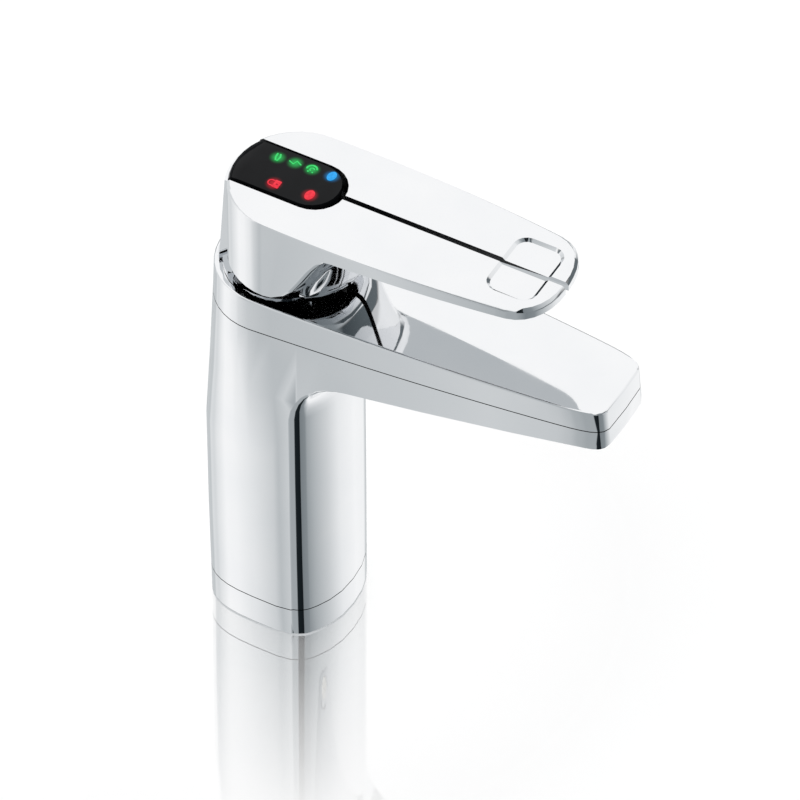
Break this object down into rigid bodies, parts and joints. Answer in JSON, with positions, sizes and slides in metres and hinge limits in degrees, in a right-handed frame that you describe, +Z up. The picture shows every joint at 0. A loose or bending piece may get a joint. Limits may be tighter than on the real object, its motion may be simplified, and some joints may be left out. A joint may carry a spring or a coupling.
{
  "type": "boiling water tap",
  "caption": "Chrome boiling and chilled water tap for a worktop: a D-section column with a long wedge spout, rocking hand levers and a black touch display between them.",
  "frame": {"origin": "centre of the column's round back on the plane where its foot rests on the worktop", "axes": "+Z up from the worktop, -Y towards the user along the spout, +X to the right of a user facing the tap"},
  "size_m": [0.0496, 0.1542, 0.1963],
  "materials": {
    "chrome": "polished",
    "steel": "bare",
    "brass": "machined",
    "rubber": "matt",
    "silicone": "matt",
    "black_plastic": "matt",
    "acetal": "satin",
    "board": "satin",
    "display_gloss": "high gloss",
    "lamp_green": "satin",
    "lamp_blue": "satin",
    "lamp_red": "satin"
  },
  "bodies": {
    "tap": {"base_ring": "chrome", "base_seal": "rubber", "foot_plate": "brass", "column_body": "chrome", "top_cover": "chrome", "display_carrier": "chrome", "display_lens": "display_gloss", "light_mask": "black_plastic", "display_board": "board", "board_connector": "acetal", "control_cable": "rubber", "cable_grommet": "rubber", "pivot_pin": "steel", "boiling_tube": "silicone", "chilled_tube": "silicone", "insulating_sleeve": "rubber", "outlet_manifold": "acetal", "outlet_nozzle": "chrome", "flow_strainer": "acetal", "nozzle_seal": "rubber", "left_clip": "steel", "left_spring": "steel", "left_sensor": "black_plastic", "right_clip": "steel", "right_spring": "steel", "right_sensor": "black_plastic", "led_1": "lamp_green", "led_2": "lamp_green", "led_3": "lamp_green", "led_4": "lamp_blue", "led_5": "lamp_red", "led_6": "lamp_red", "carrier_screw_1": "steel", "carrier_screw_2": "steel", "carrier_screw_3": "steel", "carrier_screw_4": "steel", "foot_screw_1": "steel", "foot_screw_2": "steel"},
    "left_hand_lever": {"left_lever": "chrome", "left_bush": "acetal"},
    "left_plunger_body": {"left_plunger": "acetal"},
    "right_hand_lever": {"right_lever": "chrome", "right_bush": "acetal"},
    "right_plunger_body": {"right_plunger": "acetal"}
  },
  "joints": [
    {"name": "left_lever_hinge", "type": "hinge", "parent": "tap", "child": "left_hand_lever", "pos_m": [0, -0.0071, 0.179], "axis": [1, 0, 0], "range_deg": [-8, 5], "stiffness_Nm_per_rad": 0.4},
    {"name": "left_plunger_slide", "type": "slide", "parent": "tap", "child": "left_plunger_body", "axis": [0, 0, 1], "range_m": [-0.0007, 0.0011], "deforming": ["left_spring"]},
    {"name": "right_lever_hinge", "type": "hinge", "parent": "tap", "child": "right_hand_lever", "pos_m": [0, -0.0071, 0.179], "axis": [1, 0, 0], "range_deg": [-8, 5], "stiffness_Nm_per_rad": 0.4},
    {"name": "right_plunger_slide", "type": "slide", "parent": "tap", "child": "right_plunger_body", "axis": [0, 0, 1], "range_m": [-0.0007, 0.0011], "deforming": ["right_spring"]}
  ],
  "couplings": [
    {"joint": "left_plunger_slide", "follows": "left_lever_hinge", "m_per_rad": -0.0069},
    {"joint": "right_plunger_slide", "follows": "right_lever_hinge", "m_per_rad": -0.0069}
  ]
}
